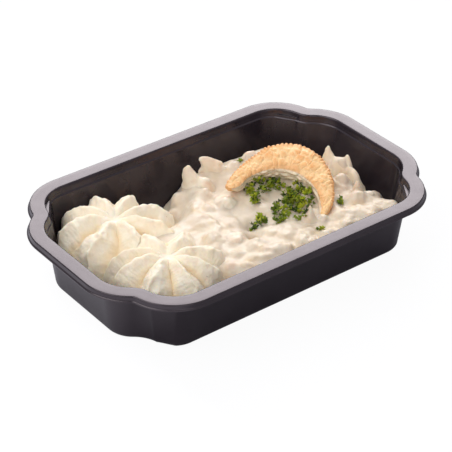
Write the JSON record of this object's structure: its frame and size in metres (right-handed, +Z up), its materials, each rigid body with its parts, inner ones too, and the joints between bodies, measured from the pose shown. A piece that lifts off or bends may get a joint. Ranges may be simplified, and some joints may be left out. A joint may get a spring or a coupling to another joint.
{
  "type": "ready meal in plastic tray",
  "caption": "Oblong black plastic tray with notched corners, filled with piped mashed potato, creamed chicken in white sauce, a puff pastry crescent and chopped parsley.",
  "frame": {"origin": "middle of the tray's flat underside", "axes": "+Z up out of the tray, X along the tray's long sides with the mashed potato at -X, +Y towards the long side that the pastry's middle points to"},
  "size_m": [0.227, 0.147, 0.045],
  "materials": {
    "black_plastic": "smooth moulded black plastic, semi-gloss",
    "mashed_potato": "piped mashed potato, moist and slightly grainy",
    "white_sauce": "thick cream sauce over chopped chicken, soft gloss",
    "sauced_chicken": "cooked chicken coated in cream sauce, soft gloss",
    "golden_pastry": "baked puff pastry, golden blistered top and pale layered sides",
    "parsley_leaf": "chopped fresh curly parsley"
  },
  "bodies": {
    "root": {"tray": "black_plastic", "mash_rosette_front": "mashed_potato", "mash_rosette_rear": "mashed_potato", "ragout": "white_sauce", "pastry_crescent": "golden_pastry", "chicken_piece_tall": "sauced_chicken", "chicken_piece_curl": "sauced_chicken", "chicken_piece_left": "sauced_chicken", "chicken_piece_near": "sauced_chicken", "chicken_piece_point": "sauced_chicken", "chicken_piece_back": "sauced_chicken", "chicken_piece_right": "sauced_chicken", "chicken_piece_end": "sauced_chicken", "parsley_clump_left": "parsley_leaf", "parsley_clump_right": "parsley_leaf", "parsley_sprig": "parsley_leaf", "parsley_bit_left": "parsley_leaf", "parsley_bit_front": "parsley_leaf", "parsley_bit_near": "parsley_leaf", "parsley_bit_outer": "parsley_leaf"}
  },
  "joints": []
}
